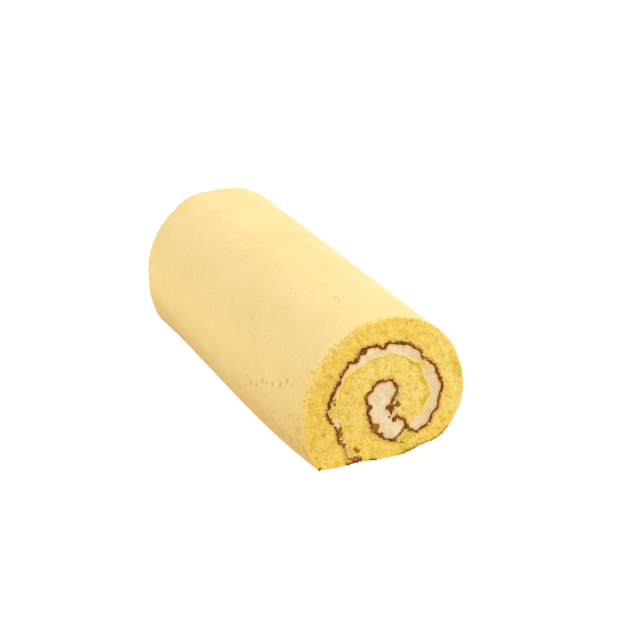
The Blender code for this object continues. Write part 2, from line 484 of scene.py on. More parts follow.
# %% [markdown]
# ## Geometry Nodes from a script
# A node tree changes a whole surface at once by a rule. Two helpers serve all of them: one starts
# a tree with named number inputs, and one runs a tree on a piece and gives back a plain mesh. The
# inputs are set by their identifiers, and the modifier is removed again.
# %% Helpers for the trees


def new_tree(name, inputs):
    """A Geometry Nodes tree with these inputs, numbers or a material, and its input sockets."""
    tree = bpy.data.node_groups.new(name, "GeometryNodeTree")
    for way in ("INPUT", "OUTPUT"):
        tree.interface.new_socket("Geometry", in_out=way, socket_type="NodeSocketGeometry")
    for title, value in inputs.items():
        kind = "NodeSocketMaterial" if value is None else "NodeSocketFloat"
        socket = tree.interface.new_socket(title, in_out="INPUT", socket_type=kind)
        if value is not None:
            socket.default_value = value
    return tree, add(tree, "NodeGroupInput").outputs


def mesh_by(tree, piece, sizes=()):
    """The plain mesh that the tree makes of a piece, with some of its inputs changed."""
    maker = piece.modifiers.new(tree.name, "NODES")
    maker.node_group = tree
    for item in tree.interface.items_tree:
        if item.name in dict(sizes):
            maker[item.identifier] = dict(sizes)[item.name]
    ready = piece.evaluated_get(bpy.context.evaluated_depsgraph_get())
    mesh = bpy.data.meshes.new_from_object(ready)
    piece.modifiers.remove(maker)
    return mesh


# %% [markdown]
# ## Relief of the cut
# Sponge is a foam of egg and sugar: round pores of half a millimetre to two, with thin, rough walls
# between them. A knife opens the pores it passes. Voronoi cells stand for the pores, and noise
# for the grain of the walls and for places where the crumb tore. Everything sinks in from
# the plane of the cut, so the roll never grows, and the depth is kept as an attribute for the
# finish. Skin and crust hold the crumb next to them together, so it sinks less there. The edge of
# the cut is a little ragged. The skin gets wide, shallow dents in the same tree, which leave the
# base flat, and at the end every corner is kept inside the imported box. Cream takes the same tree
# with almost no pores: what is left are the knife's smears.
# %% What the relief tree reads
RELIEF = {
    "Pore Width": 1.7 * MM,
    "Pore Depth": 0.5 * MM,
    "Grain Width": 0.9 * MM,
    "Grain Depth": 0.45 * MM,
    "Tear Width": 4 * MM,
    "Tear Depth": 1.2 * MM,
    "Ragged": 0.4 * MM,
    "Firm Rim": 1.6 * MM,
    "Dent Width": 28 * MM,
    "Dent Depth": 0.18 * MM,
}
HALF = (0.5, 0.5, 0.5)  # the middle of a noise's colours

relief, given = new_tree("relief", RELIEF)
place = add(relief, "GeometryNodeInputPosition")
across = add(relief, "ShaderNodeSeparateXYZ", {0: place}).outputs
note = {
    title: add(relief, "GeometryNodeInputNamedAttribute", {"Name": title}, data_type="FLOAT")
    for title in ("on_cut", "to_skin", "to_browned", "to_inner_skin")
}
scale = {
    title: add(relief, "ShaderNodeMath", {0: 1.0, 1: given[f"{title} Width"]}, operation="DIVIDE")
    for title in ("Pore", "Grain", "Tear", "Dent")
}
print("inputs of the relief tree:", ", ".join(RELIEF))

# %% Pores, grain and tears
PORE_FLOOR, PORE_EDGE = 0.15, 0.55  # how far they are from a pore's middle, in pore widths
TEAR_EDGE, TEAR_FLOOR = 0.45, 0.75  # the noise there
FIRM_SHARE = 0.3  # of its depth is what is left of the relief at a face of the sheet

pore = add(relief, "ShaderNodeTexVoronoi", {"Vector": place, "Scale": scale["Pore"]})
pore = {"Value": pore, "From Min": PORE_FLOOR, "From Max": PORE_EDGE, "To Min": 1.0, "To Max": 0.0}
pore = add(relief, "ShaderNodeMapRange", pore, interpolation_type="SMOOTHSTEP")
grain = add(relief, "ShaderNodeTexNoise", {"Vector": place, "Scale": scale["Grain"], "Detail": 1.0})
tear = add(relief, "ShaderNodeTexNoise", {"Vector": place, "Scale": scale["Tear"], "Detail": 3.0})
tear = {"Value": tear, "From Min": TEAR_EDGE, "From Max": TEAR_FLOOR}
tear = add(relief, "ShaderNodeMapRange", tear)
depth = 0.0
for pattern, size in ((pore, "Pore Depth"), (grain, "Grain Depth"), (tear, "Tear Depth")):
    inputs = {0: pattern, 1: given[size], 2: depth}
    depth = add(relief, "ShaderNodeMath", inputs, operation="MULTIPLY_ADD")
rim = note["to_skin"]
for title in ("to_browned", "to_inner_skin"):
    rim = add(relief, "ShaderNodeMath", {0: rim, 1: note[title]}, operation="MINIMUM")
firm = {"Value": rim, "From Max": given["Firm Rim"], "To Min": FIRM_SHARE}
firm = add(relief, "ShaderNodeMapRange", firm)
for share in (note["on_cut"], firm):
    depth = add(relief, "ShaderNodeMath", {0: depth, 1: share}, operation="MULTIPLY")
side = add(relief, "ShaderNodeMath", {0: across["Y"]}, operation="SIGN")
sunk = depth
for share in (side, -1.0):
    sunk = add(relief, "ShaderNodeMath", {0: sunk, 1: share}, operation="MULTIPLY")
sunk = add(relief, "ShaderNodeCombineXYZ", {"Y": sunk})
print("nodes that sink the cut:", len(relief.nodes))

# %% Ragged edges, and dents in the skin
ON_RISE, IN_DENT = 0.3, 0.7  # the noise on a rise of the skin and in a dent beside it
DENT_REACH = 9 * MM  # dents fade out this deep inside the skin
DENT_RISE = 12 * MM  # and below this height above the table

share = add(relief, "ShaderNodeMath", {0: given["Ragged"], 1: note["on_cut"]}, operation="MULTIPLY")
ragged = grain.outputs["Color"]
for way, other in (("SUBTRACT", HALF), ("MULTIPLY", (2, 0, 2))):
    ragged = add(relief, "ShaderNodeVectorMath", {0: ragged, 1: other}, operation=way)
ragged = add(relief, "ShaderNodeVectorMath", {0: ragged, "Scale": share}, operation="SCALE")

dent = add(relief, "ShaderNodeTexNoise", {"Vector": place, "Scale": scale["Dent"], "Detail": 1.0})
dent = {"Value": dent, "From Min": ON_RISE, "From Max": IN_DENT, "To Min": -1.0}
dent = add(relief, "ShaderNodeMapRange", dent)
near = {"Value": note["to_skin"], "From Max": DENT_REACH, "To Min": 1.0, "To Max": 0.0}
near = add(relief, "ShaderNodeMapRange", near)
high = {"Value": across["Z"], "From Max": DENT_RISE}
high = add(relief, "ShaderNodeMapRange", high, interpolation_type="SMOOTHSTEP")
for share in (given["Dent Depth"], near, high):
    dent = add(relief, "ShaderNodeMath", {0: dent, 1: share}, operation="MULTIPLY")
inwards = add(relief, "ShaderNodeVectorMath", {0: tuple(axis), 1: place}, operation="SUBTRACT")
inwards = add(relief, "ShaderNodeVectorMath", {0: inwards, 1: (1, 0, 1)}, operation="MULTIPLY")
inwards = add(relief, "ShaderNodeVectorMath", {0: inwards}, operation="NORMALIZE")
dented = add(relief, "ShaderNodeVectorMath", {0: inwards, "Scale": dent}, operation="SCALE")
print("nodes with the edges and the dents:", len(relief.nodes))

# %% Move the corners
moved = place
for push in (sunk, ragged, dented):
    moved = add(relief, "ShaderNodeVectorMath", {0: moved, 1: push}, operation="ADD")
for corner, limit in ((packed_low, "MAXIMUM"), (packed_high, "MINIMUM")):
    moved = add(relief, "ShaderNodeVectorMath", {0: moved, 1: tuple(corner)}, operation=limit)
noted = {"Geometry": given["Geometry"], "Name": "sunk", "Value": depth}
on_points = {"data_type": "FLOAT", "domain": "POINT"}
noted = add(relief, "GeometryNodeStoreNamedAttribute", noted, **on_points)
shaped = add(relief, "GeometryNodeSetPosition", {"Geometry": noted, "Position": moved})
add(relief, "NodeGroupOutput", {"Geometry": shaped})

SMEARS = {
    "Pore Depth": 0.1 * MM,
    "Grain Width": 2.8 * MM,
    "Grain Depth": 0.35 * MM,
    "Tear Width": 7 * MM,
    "Tear Depth": 0.5 * MM,
    "Ragged": 0.0,
    "Firm Rim": 0.5 * MM,
    "Dent Depth": 0.0,
}
for piece in (sponge, squeezed_seam):
    piece.data = mesh_by(relief, piece)
for piece in (cream_layer, cream_centre):
    piece.data = mesh_by(relief, piece, SMEARS)
print("corners moved on the sponge:", len(sponge.data.vertices))

# %% [markdown]
# ## How the finishes are painted
# A finish starts from one colour and has coats over it, as a painter would work. Each coat is a
# colour, how much it covers at most, and the places where it lies: it comes in while something
# the finish can read goes from one value to another. A finish can read the place on the roll, the
# notes that the mesh carries, and noises as wide as the real pattern.
# %% Reading places and painting coats
NOISE_REACH = 0.25  # a noise seldom strays further than this from its middle, 0.5
BUMP_STRENGTH = 0.4


def new_finish(name, notes, noises):
    """A material, its new node tree, and what the finish can read, by name."""
    material = bpy.data.materials.new(name)
    material.use_nodes = True
    tree = material.node_tree
    tree.nodes.clear()
    place = add(tree, "ShaderNodeTexCoord").outputs["Object"]
    reads = dict(add(tree, "ShaderNodeSeparateXYZ", {0: place}).outputs)
    for title in notes:
        reads[title] = add(tree, "ShaderNodeAttribute", attribute_name=title).outputs["Fac"]
    for title, width in noises.items():
        inputs = {"Vector": place, "Scale": 1 / width, "Detail": 3.0}
        reads[title] = add(tree, "ShaderNodeTexNoise", inputs)
    print(f"finish: {name}, which reads", ", ".join(reads))
    return material, tree, {"place": place, **reads}


def shifted(tree, value, by, most):
    """A value moved up and down by a noise, at most this far."""
    shift = add(tree, "ShaderNodeMath", {0: by, 1: 0.5}, operation="SUBTRACT")
    shift = {0: shift, 1: most / NOISE_REACH, 2: value}
    return add(tree, "ShaderNodeMath", shift, operation="MULTIPLY_ADD")


def painted(tree, reads, colour, coats):
    """A colour with coats over it: a hex colour or socket, how much it covers, and where."""
    for tone, most, *places in coats:
        amount = most
        for title, start, full in places:
            share = {"Value": reads[title], "From Min": start, "From Max": full}
            share = add(tree, "ShaderNodeMapRange", share)
            amount = add(tree, "ShaderNodeMath", {0: share, 1: amount}, operation="MULTIPLY")
        tone = linear(tone) if isinstance(tone, str) else tone
        mix = {"Factor": amount, "A": colour, "B": tone}
        colour = add(tree, "ShaderNodeMix", mix, data_type="RGBA")
    return colour


def shaded(tree, colour, look, bumps, deep):
    """End a finish: a body with this colour and look, and fine bumps this deep."""
    bump = {"Strength": BUMP_STRENGTH, "Distance": deep, "Height": bumps}
    look = {"Base Color": colour, "Normal": add(tree, "ShaderNodeBump", bump), **look}
    shader = add(tree, "ShaderNodeBsdfPrincipled", look)
    add(tree, "ShaderNodeOutputMaterial", {"Surface": shader})


# %% [markdown]
# ## The finish of the crumb
# Yolks make the crumb yellow. It is deeper yellow near the outer skin, where it dried a little in
# the oven, and paler in the inner turn, which cream has kept moist. The face that lay on the
# paper browned to a thin caramel crust, and the crumb beside it is tanned for two millimetres
# more. Along the inner turn's skin the yellow is strongest, in short streaks. Pores are painted
# darker than the walls between them, a painted shade for the light lost in them, and bright specks
# are painted highlights for torn grains that catch the light. Towards the right and along the worn
# upper left edge the crumb is painted paler, as painted light, and a thin dark line at the lower
# right edge is a painted contact shadow. The attributes carry all these places, so loose crumbs
# from there have the same colours. Crumb is matt and lets a little light through.
# %% Open sponge crumb
CRUST_DEPTH = 0.9 * MM
CRUST_FADE = 0.45 * MM  # from the crust's own colour to none of it
CRUST_RAGGED = 0.75 * MM  # each of two noises moves the crust's edge by at most this
SINGED_DEPTH = 2.8 * MM  # the crumb beside the crust is tanned this far in
# the paleness at the worn edge is a painted highlight
WORN_RIM_HIGHLIGHT = 4.6 * MM  # how far in from a worn edge the crumb is pale

notes = ("to_skin", "to_browned", "to_inner_skin", "sunk", "tint")
noises = {
    "patch": 7 * MM,
    "grain": 1.0 * MM,
    "crust": 0.8 * MM,
    "clump": 4 * MM,
    "amber": 3.2 * MM,
    "fine": 0.5 * MM,
}
crumb, tree, reads = new_finish("open sponge crumb", notes, noises)
reads["crust depth"] = shifted(tree, reads["to_browned"], reads["crust"], most=CRUST_RAGGED)
reads["crust depth"] = shifted(tree, reads["crust depth"], reads["clump"], most=CRUST_RAGGED)
reads["rim"] = shifted(tree, reads["to_skin"], reads["grain"], most=1.2 * MM)

# %% Coats of the crumb
caramel = painted(tree, reads, linear("#784004"), [("#AC6C12", 0.8, ("amber", 0.5, 0.62))])
bare = ("crust depth", CRUST_DEPTH + CRUST_FADE, CRUST_DEPTH)
coats = (
    ("#F1D065", 1.0, ("to_skin", 1 * MM, 6 * MM)),
    ("#F2D473", 1.0, ("to_skin", 12 * MM, 20 * MM)),
    # painted light: the crumb is paler towards the right, above the base
    ("#F6D87C", 0.8, ("X", 14 * MM, 36 * MM), ("Z", 6 * MM, 26 * MM)),
    ("#E9C746", 0.6, ("patch", 0.5, 0.7)),
    ("#DFBE34", 0.7, ("patch", 0.56, 0.68), ("to_skin", 7 * MM, 4 * MM)),
    ("#D9B93C", 0.45, ("patch", 0.5, 0.6), ("Z", 26 * MM, 10 * MM), ("X", -10 * MM, -24 * MM)),
    ("#E0B83E", 0.3, ("X", -6 * MM, -20 * MM), ("Z", 12 * MM, 22 * MM)),
    # painted highlights: bright specks where the grain catches the light
    ("#FBE38E", 0.4, ("grain", 0.52, 0.72)),
    ("#DEBC3C", 0.5, ("grain", 0.48, 0.3)),
    # painted shade: darker where the pores sink deeper
    ("#DDB12C", 0.4, ("sunk", 0.6 * MM, 1.6 * MM)),
    ("#FBE38E", 0.35, ("tint", 0.0, 0.5)),
    ("#E2BE42", 0.4, ("tint", 0.0, -0.5)),
    ("#DFC02E", 0.7, ("to_inner_skin", 1.3 * MM, 0.5 * MM), ("patch", 0.44, 0.48)),
    ("#D6B222", 0.8, ("to_inner_skin", 2.0 * MM, 1.0 * MM), ("patch", 0.46, 0.52), ("X", 8 * MM, 15 * MM)),
    # painted highlight: paler crumb along the worn upper left edge
    ("#F8DF96", 0.7, ("rim", WORN_RIM_HIGHLIGHT, 2 * MM), ("X", -2 * MM, -20 * MM), ("Z", 14 * MM, 46 * MM)),
    # painted contact shadow: a thin dark line at the lower right edge
    ("#96762E", 0.85, ("to_skin", 1.7 * MM, 0.8 * MM), ("Z", 13 * MM, 8 * MM), ("X", 4 * MM, 10 * MM)),
    ("#DDA556", 0.9, ("crust depth", SINGED_DEPTH, CRUST_DEPTH)),
    (caramel, 1.0, bare),
    ("#E0B652", 0.85, bare, ("Z", 12 * MM, 9 * MM), ("Z", 3.0 * MM, 4.5 * MM), ("X", -11 * MM, -15 * MM)),
)
look = {
    "Roughness": 0.85,
    "IOR": 1.4,
    "Specular IOR Level": 0.1,
    "Subsurface Weight": 0.1,
    "Subsurface Scale": 0.5 * MM,
    "Subsurface Radius": (1.0, 0.75, 0.3),
}
colour = painted(tree, reads, linear("#F0CC57"), coats)
shaded(tree, colour, look, bumps=reads["fine"], deep=0.25 * MM)
print("coats on the crumb:", len(coats))

# %% [markdown]
# ## The finish of the skin
# The outside of the roll is the face of the sheet that rose freely in the oven. It dried to a
# fine, velvety skin: matt, with a soft sheen at a low angle and a few burst bubbles. Its top is
# painted palest, as painted light, and its right side paler, as painted light too. Down the flanks
# it is warmer, partly its own colour where they stood in the roll's own steam and partly painted
# shade. It is rubbed in short streaks low on the flanks near the front, where the roll was held,
# and rows of small dimples are left there too. Where it leans over the table the last stretch
# above the base is ochre, partly because it stayed damp and partly as painted shade, and a painted
# contact shadow there grows darker towards the back. A paler band along the left of the cut is a
# painted highlight. The knife frayed its rim.
# %% Velvety sponge skin
PIT_CELL = 9 * MM  # one bubble in each cell of this width, and many too faint to see
PIT_WIDTH = 0.13  # its radius, as a share of the cell
DIMPLE_ROW, DIMPLE_APART = 7 * MM, 6.5 * MM  # from row to row of dimples, and along a row
ROW_FALL = 0.37  # the rows sink this much for each step towards the back
ROW_START = 11.5 * MM  # the height of the main row at the middle of the roll
STREAK_WIDTH = 2.2 * MM
STREAK_SHAPE = (1, 0.8, 0.5)  # places are scaled by this, so streaks are twice as long upwards

noises = {
    "mottle": 22 * MM,
    "velvet": 1.6 * MM,
    "fray": 1.4 * MM,
    "wave": 12 * MM,
    "blotch": 9 * MM,
}
skin, tree, reads = new_finish("velvety sponge skin", ("on_cut", "overhang"), noises)
pits = {"Vector": reads["place"], "Scale": 1 / PIT_CELL}
pits = add(tree, "ShaderNodeTexVoronoi", pits).outputs
reads["pit"] = pits["Distance"]
reads["chance"] = add(tree, "ShaderNodeSeparateXYZ", {0: pits["Color"]})
row = {0: reads["Y"], 1: ROW_FALL, 2: reads["Z"]}
row = add(tree, "ShaderNodeMath", row, operation="MULTIPLY_ADD")
reads["row"] = add(tree, "ShaderNodeMath", {0: row, 1: ROW_START}, operation="SUBTRACT")
apart = add(tree, "ShaderNodeMath", {0: reads["Y"], 1: DIMPLE_APART}, operation="DIVIDE")
row = {0: reads["row"], 1: 1 / DIMPLE_ROW, 2: 0.5}
row = add(tree, "ShaderNodeMath", row, operation="MULTIPLY_ADD")
dimples = {"Vector": add(tree, "ShaderNodeCombineXYZ", {"X": apart, "Y": row}), "Scale": 1.0}
dimples["Randomness"] = 0.6
reads["dimple"] = add(tree, "ShaderNodeTexVoronoi", dimples, voronoi_dimensions="2D")
streaks = {0: reads["place"], 1: STREAK_SHAPE}
streaks = add(tree, "ShaderNodeVectorMath", streaks, operation="MULTIPLY")
streaks = {"Vector": streaks, "Scale": 1 / STREAK_WIDTH, "Detail": 2.0}
reads["streaks"] = add(tree, "ShaderNodeTexNoise", streaks)
reads["height"] = shifted(tree, reads["Z"], reads["wave"], most=3 * MM)
reads["rim"] = shifted(tree, reads["on_cut"], reads["fray"], most=0.25)

# %% Coats of the skin
near_front = ("Y", front_y + 60 * MM, front_y + 15 * MM)
rubbed = ("blotch", 0.46, 0.56)
dimpled = ("dimple", 0.3, 0.06)
in_row = (("row", -3.5 * MM, -3 * MM), ("row", 3.5 * MM, 3 * MM))
in_row = (*in_row, ("Y", front_y + 8 * MM, front_y + 20 * MM))
coats = (
    # painted light: palest on top; down the flanks and low near the front, the skin's own warmer colour
    # and painted shade
    ("#FBD98B", 1.0, ("height", 64 * MM, 40 * MM)),
    ("#E6BF70", 1.0, ("height", 36 * MM, 14 * MM)),
    ("#EAC26A", 0.6, ("height", 54 * MM, 18 * MM), near_front),
    ("#F1D082", 0.35, ("mottle", 0.42, 0.62)),
    ("#FCE9B4", 0.25, ("velvet", 0.5, 0.75)),
    ("#E8C571", 0.3, ("velvet", 0.5, 0.25)),
    # painted light: paler towards the right, where the light falls
    ("#F4D18E", 0.3, ("X", 6 * MM, 24 * MM)),
    # ochre where the skin leans over the table: partly its own damp colour, partly painted shade
    ("#D9AC4E", 0.85, ("overhang", 0.08, 0.45)),
    ("#C49A48", 0.45, ("overhang", 0.06, 0.3), ("streaks", 0.5, 0.6), ("Y", -10 * MM, -45 * MM)),
    ("#C9A640", 0.6, ("streaks", 0.56, 0.66), ("height", 40 * MM, 26 * MM), near_front, rubbed),
    ("#D8A83C", 0.8, dimpled, *in_row, ("Y", -22 * MM, -30 * MM), ("X", 0, -9 * MM)),
    ("#D2A43E", 0.7, dimpled, ("height", 30 * MM, 24 * MM), near_front, rubbed),
    ("#C9A55A", 0.6, ("pit", PIT_WIDTH, 0.4 * PIT_WIDTH), ("chance", 0.55, 0.9)),
    # painted contact shadow where the skin faces the table, darker towards the back
    ("#A0864E", 0.8, ("overhang", 0.4, 0.64), ("Y", -30 * MM, 15 * MM)),
    # painted highlight: a paler band along the left of the cut's edge
    ("#FADD92", 0.4, ("rim", 0.5, 1.0), ("X", 5 * MM, -22 * MM)),
    ("#F3D068", 1.0, ("rim", 0.78, 1.02)),
    ("#DDB23E", 0.55, ("rim", 0.7, 0.9), ("velvet", 0.52, 0.42)),
)
look = {
    "Roughness": 0.8,
    "IOR": 1.4,
    "Specular IOR Level": 0.2,
    "Subsurface Weight": 0.2,
    "Subsurface Scale": 1.5 * MM,
    "Subsurface Radius": (1.0, 0.75, 0.35),
    "Sheen Weight": 0.1,
    "Sheen Roughness": 0.6,
}
colour = painted(tree, reads, linear("#FBDF9D"), coats)
shaded(tree, colour, look, bumps=reads["velvet"], deep=0.13 * MM)
print("coats on the skin:", len(coats))

# %% [markdown]
# ## The finish of the cream
# Whipped cream is fat and air: off-white and soft, and light goes a little way into it. Only a
# small share of that is drawn, because more turned the thin layer grey. Next to the inner skin
# it takes up a little of the sponge's yellow, and next to the browned face it stains brown where
# the crust has softened. At its thin left end the knife smeared it with crumb and crust. Loose
# dabs are cleaner, but amber where crust lies by.
# %% Whipped cream
noises = {"whisked": 3.4 * MM, "stain": 1.2 * MM}
notes = ("to_browned", "to_inner_skin", "amber", "loose")
cream, tree, reads = new_finish("whipped cream", notes, noises)
reads["soaked"] = shifted(tree, reads["to_inner_skin"], reads["whisked"], most=1.3 * MM)
reads["stained"] = shifted(tree, reads["to_browned"], reads["stain"], most=0.35 * MM)
reads["thinned"] = shifted(tree, reads["to_browned"], reads["whisked"], most=0.6 * MM)
in_layer = ("to_inner_skin", 5.5 * MM, 4.5 * MM)  # and so not on a loose dab
coats = (
    ("#EEDBB2", 0.9, ("whisked", 0.5, 0.68)),
    ("#DCC290", 0.6, ("whisked", 0.48, 0.3)),
    ("#D9BC86", 0.5, ("X", 8 * MM, 20 * MM)),
    ("#EFD480", 0.7, ("soaked", 2.2 * MM, 0.8 * MM)),
    ("#F0CC5E", 1.0, ("soaked", 0.9 * MM, 0.5 * MM)),
    ("#F0CE66", 0.95, ("thinned", 1.0 * MM, 1.6 * MM), ("X", -14 * MM, -18 * MM), in_layer),
    ("#E9BE6C", 0.8, ("X", -18 * MM, -22 * MM), ("Z", 36 * MM, 30 * MM), in_layer),
    ("#F8E0B2", 1.0, ("loose", 0.0, 1.0)),
    ("#E2AE60", 0.9, ("amber", 0.0, 1.0)),
    ("#DFAA6C", 0.75, ("stained", 1.9 * MM, 0.5 * MM)),
    ("#8A5210", 0.95, ("stained", 0.45 * MM, 0.2 * MM)),
)
look = {
    "Roughness": 0.5,
    "IOR": 1.45,
    "Specular IOR Level": 0.25,
    "Subsurface Weight": 0.1,
    "Subsurface Scale": 0.5 * MM,
    "Subsurface Radius": (1.0, 0.8, 0.55),
}
colour = painted(tree, reads, linear("#E4CC9C"), coats)
shaded(tree, colour, look, bumps=reads["whisked"], deep=0.3 * MM)

# %% [markdown]
# ## The finish of the crust
# Where the crust is thick it is caramel: sugar and egg browned by the hot tin. Dry bits of it are
# dark, and bits that cream has softened turn amber and a little glossy.
# %% Caramelised crust
crust, tree, reads = new_finish("caramelised crust", ("amber", "tint"), {"baked": 1.2 * MM})
coats = (
    ("#AE700E", 1.0, ("amber", 0.0, 1.0)),
    ("#B87A22", 0.4, ("tint", 0.0, 0.5)),
    ("#562C02", 0.6, ("baked", 0.5, 0.7)),
)
look = {"Roughness": 0.6, "IOR": 1.45, "Specular IOR Level": 0.12}
colour = painted(tree, reads, linear("#74400A"), coats)
shaded(tree, colour, look, bumps=reads["baked"], deep=0.2 * MM)

# %% [markdown]
# ## Dressing the bars
# A bar's walls and cuts have their own material slots. Where the walls are hidden between sponge
# and cream, they count as cut, because a glimpse of them is a glimpse of crumb.
# %% Materials on the bars
DRESSES = (
    (sponge, skin, crumb),
    (squeezed_seam, crumb, crumb),
    (cream_layer, cream, cream),
    (cream_centre, cream, cream),
)

for piece, *finishes in DRESSES:
    for finish in finishes:
        piece.data.materials.append(finish)
    cuts = sum(polygon.material_index == CUT for polygon in piece.data.polygons)
    print(f"{piece.name}: {cuts} of {len(piece.data.polygons)} triangles in the finish of a cut")

# %% [markdown]
# ## Crumbs
# Cutting sponge leaves loose and half-loose crumbs all over the face. Geometry Nodes scatter one
# small lump over the cut, turned, sized and tinted at random. The lump has only twenty faces,
# because there are thousands of them, and the instances are realized, so that they are true
# meshes in the end. The knife went through the lumps too. Each is cut flat at a level of its
# own, because cut faces at the same level would flicker through each other. Flakes of crust
# along the browned face and crumbs that the knife dragged over the thin end of the cream come
# from the same tree with other inputs.
# %% Lumps on points
LEVELS = 0.1 * MM  # from the level of the most outward cut to that of the most inward one
MIDDLE_LEVEL = 0.6 * LEVELS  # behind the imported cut


def with_lumps(tree, points, given):
    """Put lumps on the points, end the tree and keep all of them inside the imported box."""
    lump = add(tree, "GeometryNodeMeshIcoSphere", {"Radius": 1.0, "Subdivisions": 1})
    dent = add(tree, "ShaderNodeTexNoise", {"Scale": 1.1}).outputs["Color"]
    dent = add(tree, "ShaderNodeVectorMath", {0: dent, 1: HALF}, operation="SUBTRACT")
    lump = add(tree, "GeometryNodeSetPosition", {"Geometry": lump.outputs["Mesh"], "Offset": dent})
    seed = {"Seed": given["Seed"]}
    tint = add(tree, "FunctionNodeRandomValue", {"Min": -0.5, "Max": 0.5, **seed})
    points = {"Geometry": points, "Name": "tint", "Value": tint}
    points = add(tree, "GeometryNodeStoreNamedAttribute", points, **on_points)
    turn = {"Max": (math.tau, math.tau, math.tau), **seed}
    turn = add(tree, "FunctionNodeRandomValue", turn, data_type="FLOAT_VECTOR")
    size = {"Min": given["Smallest"], "Max": given["Largest"], **seed}
    size = add(tree, "FunctionNodeRandomValue", size)
    stretch = {"Min": (0.6, 0.6, 0.6), "Max": (1.2, 1.2, 1.2), **seed}
    stretch = add(tree, "FunctionNodeRandomValue", stretch, data_type="FLOAT_VECTOR")
    size = add(tree, "ShaderNodeVectorMath", {0: stretch, "Scale": size}, operation="SCALE")
    lumps = {"Points": points, "Instance": lump, "Rotation": turn, "Scale": size}
    lumps = add(tree, "GeometryNodeInstanceOnPoints", lumps)
    lumps = add(tree, "GeometryNodeRealizeInstances", {"Geometry": lumps})
    place = add(tree, "GeometryNodeInputPosition")
    own = add(tree, "GeometryNodeInputNamedAttribute", {"Name": "tint"}, data_type="FLOAT")
    own = {0: own, 1: LEVELS, 2: MIDDLE_LEVEL}
    own = add(tree, "ShaderNodeMath", own, operation="MULTIPLY_ADD")
    own = add(tree, "ShaderNodeCombineXYZ", {"Y": own})
    for corner, way, limit in ((packed_low, "ADD", "MAXIMUM"), (packed_high, "SUBTRACT", "MINIMUM")):
        corner = add(tree, "ShaderNodeVectorMath", {0: tuple(corner), 1: own}, operation=way)
        place = add(tree, "ShaderNodeVectorMath", {0: place, 1: corner}, operation=limit)
    lumps = add(tree, "GeometryNodeSetPosition", {"Geometry": lumps, "Position": place})
    lumps = add(tree, "GeometryNodeSetMaterial", {"Geometry": lumps, "Material": given["Material"]})
    add(tree, "NodeGroupOutput", {"Geometry": lumps})


# %% The tree that scatters crumbs
NO_LIMIT = 1.0  # a metre is farther than anything on the roll
CRUMBS = {
    "Crumbs per Square Metre": 0.8e6,
    "Smallest": 0.18 * MM,
    "Largest": 0.48 * MM,
    "Farthest Browned": NO_LIMIT,
    "Left Of": NO_LIMIT,
    "Below": NO_LIMIT,
    "Seed": 3.0,
    "Material": None,
}
SURELY_CUT = 0.95  # on_cut is more than this only on the cut itself and its very edge

scatter, given = new_tree("scattered crumbs", CRUMBS)
note = {
    title: add(scatter, "GeometryNodeInputNamedAttribute", {"Name": title}, data_type="FLOAT")
    for title in ("on_cut", "to_browned")
}
place = add(scatter, "GeometryNodeInputPosition")
across = add(scatter, "ShaderNodeSeparateXYZ", {0: place}).outputs
chosen = {0: note["on_cut"], 1: SURELY_CUT}
chosen = add(scatter, "FunctionNodeCompare", chosen, operation="GREATER_THAN")
for value, limit in (
    (note["to_browned"], "Farthest Browned"),
    (across["X"], "Left Of"),
    (across["Z"], "Below"),
):
    within = add(scatter, "FunctionNodeCompare", {0: value, 1: given[limit]}, operation="LESS_THAN")
    chosen = add(scatter, "FunctionNodeBooleanMath", {0: chosen, 1: within}, operation="AND")
points = {
    "Mesh": given["Geometry"],
    "Selection": chosen,
    "Density": given["Crumbs per Square Metre"],
    "Seed": given["Seed"],
}
with_lumps(scatter, add(scatter, "GeometryNodeDistributePointsOnFaces", points), given)
print("nodes of the tree that scatters crumbs:", len(scatter.nodes))

# %% Scatter crumbs over the cuts
FAR = 6 * MM  # the note of a crumb that is not near any face of the sheet


def scattered(name, source, tree, inputs):
    """A new piece: what the tree makes of a source, with some of its inputs changed."""
    piece = bpy.data.objects.new(name, mesh_by(tree, source, inputs))
    piece.data.shade_smooth()
    bpy.context.scene.collection.objects.link(piece)
    print(f"{name}: {len(piece.data.polygons)} triangles")
    return piece


crumbs = scattered("crumbs", sponge, scatter, {"Material": crumb})
flakes = {
    "Smallest": 0.15 * MM,
    "Largest": 0.45 * MM,
    "Farthest Browned": 1.3 * MM,
    "Seed": 8.0,
    "Material": crust,
}
crust_flakes = scattered("crust_flakes", sponge, scatter, flakes)
dragged = {
    "Crumbs per Square Metre": 1.3e6,
    "Smallest": 0.3 * MM,
    "Largest": 0.85 * MM,
    "Left Of": -11 * MM,
    "Below": 37 * MM,
    "Seed": 5.0,
    "Material": crumb,
}
dragged_crumbs = scattered("dragged_crumbs", cream_layer, scatter, dragged)
clean = [FAR] * len(dragged_crumbs.data.vertices)
for title in PLACES:
    dragged_crumbs.data.attributes[title].data.foreach_set("value", clean)

